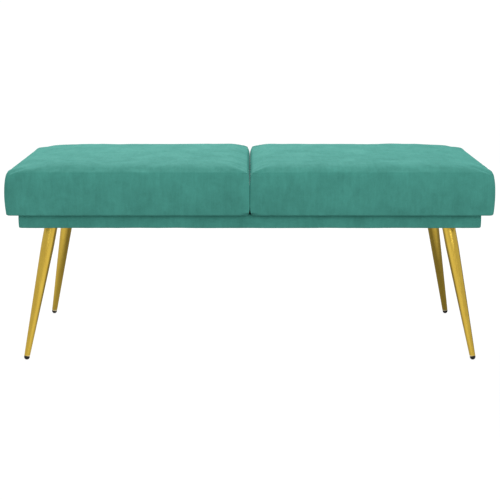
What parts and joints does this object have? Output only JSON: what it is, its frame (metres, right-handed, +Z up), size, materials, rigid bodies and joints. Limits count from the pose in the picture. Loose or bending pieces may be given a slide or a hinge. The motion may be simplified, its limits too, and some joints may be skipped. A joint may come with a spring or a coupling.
{
  "type": "upholstered bench",
  "caption": "Backless upholstered bench with two velvet box cushions side by side on a velvet-covered base, standing on splayed, tapered, gold-coloured metal legs.",
  "frame": {"origin": "on the floor, under the middle of the bench (bottom centre of its bounding box)", "axes": "+Z up; +X along the bench, to the right as seen from the front; -Y towards the front"},
  "size_m": [1.1194, 0.4814, 0.456],
  "materials": {
    "velvet": "short-pile velvet, soft sheen",
    "foam": "open-cell polyurethane foam",
    "wadding": "white polyester fibre wadding",
    "plywood": "bare plywood",
    "pine": "planed bare pine",
    "beech_dowel": "bare beech",
    "lining_cloth": "black non-woven lining",
    "gold_metal": "satin gold plating on steel",
    "zinc_steel": "bright zinc plating",
    "black_plastic": "moulded black"
  },
  "bodies": {
    "root": {"band_staples": "zinc_steel", "base_velvet_band": "velvet", "base_wadding": "wadding", "corner_block_front_left": "plywood", "corner_block_front_right": "plywood", "corner_block_rear_left": "plywood", "corner_block_rear_right": "plywood", "dust_cover": "lining_cloth", "dust_cover_staples": "zinc_steel", "frame_cross_rail_left": "pine", "frame_cross_rail_middle": "pine", "frame_cross_rail_right": "pine", "frame_dowels": "beech_dowel", "frame_end_rail_left": "pine", "frame_end_rail_right": "pine", "frame_front_rail": "pine", "frame_rear_rail": "pine", "leg_bolts": "zinc_steel", "leg_front_left": "gold_metal", "leg_front_right": "gold_metal", "leg_glide_front_left": "black_plastic", "leg_glide_front_right": "black_plastic", "leg_glide_rear_left": "black_plastic", "leg_glide_rear_right": "black_plastic", "leg_plate_front_left": "gold_metal", "leg_plate_front_right": "gold_metal", "leg_plate_rear_left": "gold_metal", "leg_plate_rear_right": "gold_metal", "leg_rear_left": "gold_metal", "leg_rear_right": "gold_metal", "leg_tee_nuts": "zinc_steel", "leg_welds": "gold_metal", "seat_board_left": "plywood", "seat_board_right": "plywood", "seat_bolt_washers": "zinc_steel", "seat_bolts": "zinc_steel", "seat_cover_left": "velvet", "seat_cover_right": "velvet", "seat_foam_left": "foam", "seat_foam_right": "foam", "seat_staples_left": "zinc_steel", "seat_staples_right": "zinc_steel", "seat_tee_nuts": "zinc_steel", "seat_under_cloth_left": "lining_cloth", "seat_under_cloth_right": "lining_cloth", "seat_wadding_left": "wadding", "seat_wadding_right": "wadding"}
  },
  "joints": []
}
